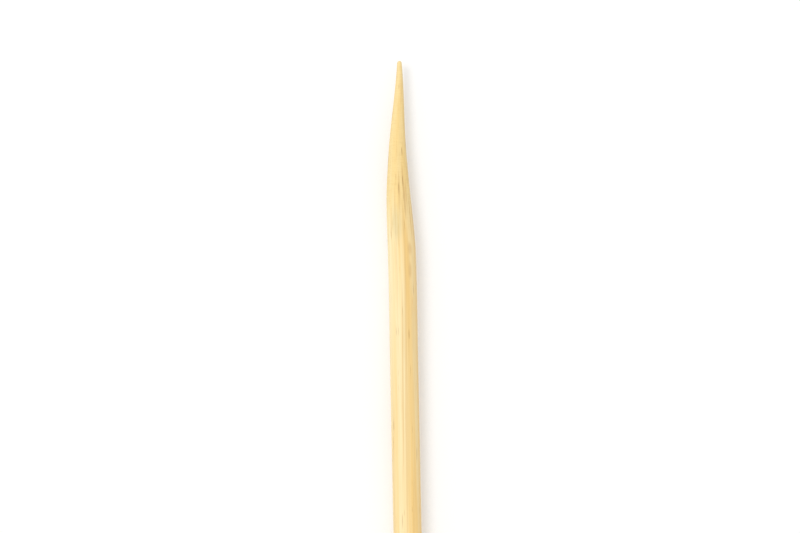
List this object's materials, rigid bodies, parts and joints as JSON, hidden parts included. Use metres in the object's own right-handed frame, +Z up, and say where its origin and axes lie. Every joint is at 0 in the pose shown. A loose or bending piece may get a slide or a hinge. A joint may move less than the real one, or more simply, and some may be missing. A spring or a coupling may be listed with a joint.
{
  "type": "bamboo skewer",
  "caption": "Long round bamboo skewer with a slender ground point and a square sawn butt.",
  "frame": {"origin": "on the surface that the skewer lies on, under the middle of its length and width", "axes": "+Y along the skewer towards its point, +Z up, +X to the side that the shaft bows to"},
  "size_m": [0.0046, 0.3, 0.0029],
  "materials": {
    "bamboo": "bare drawn bamboo, unvarnished, with a dull sheen along the grain"
  },
  "bodies": {
    "root": {"skewer": "bamboo"}
  },
  "joints": []
}
